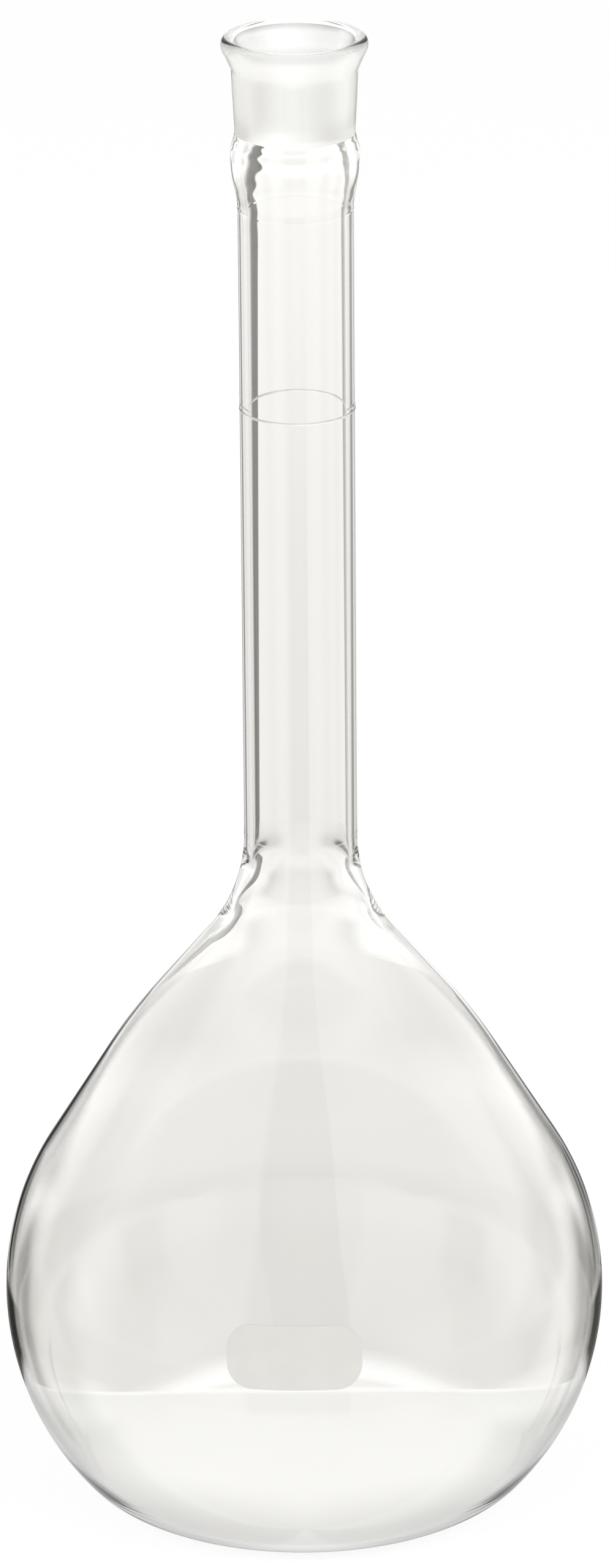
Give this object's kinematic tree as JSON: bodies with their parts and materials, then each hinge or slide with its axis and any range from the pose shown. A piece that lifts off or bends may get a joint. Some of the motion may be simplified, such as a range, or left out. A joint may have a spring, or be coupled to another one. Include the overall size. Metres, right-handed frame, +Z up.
{
  "type": "volumetric flask",
  "caption": "Round-bellied glass volumetric flask with a flat base, a long narrow neck carrying a graduation ring, and a ground taper socket under a flared lip.",
  "frame": {"origin": "centre of the flat base, on the surface the flask stands on", "axes": "+Z up along the flask's axis to the mouth; -Y towards the marking spot on the front"},
  "size_m": [0.1266, 0.1266, 0.3165],
  "materials": {
    "clear_glass": "clear, fire polished",
    "socket_glass": "clear outside, finely ground on the inner taper",
    "white_line": "fired enamel, satin",
    "white_enamel": "fired enamel, matt writing surface"
  },
  "bodies": {
    "root": {"bulb": "clear_glass", "neck_tube": "clear_glass", "stopper_socket": "socket_glass", "graduation_ring": "white_line", "marking_spot": "white_enamel"}
  },
  "joints": []
}
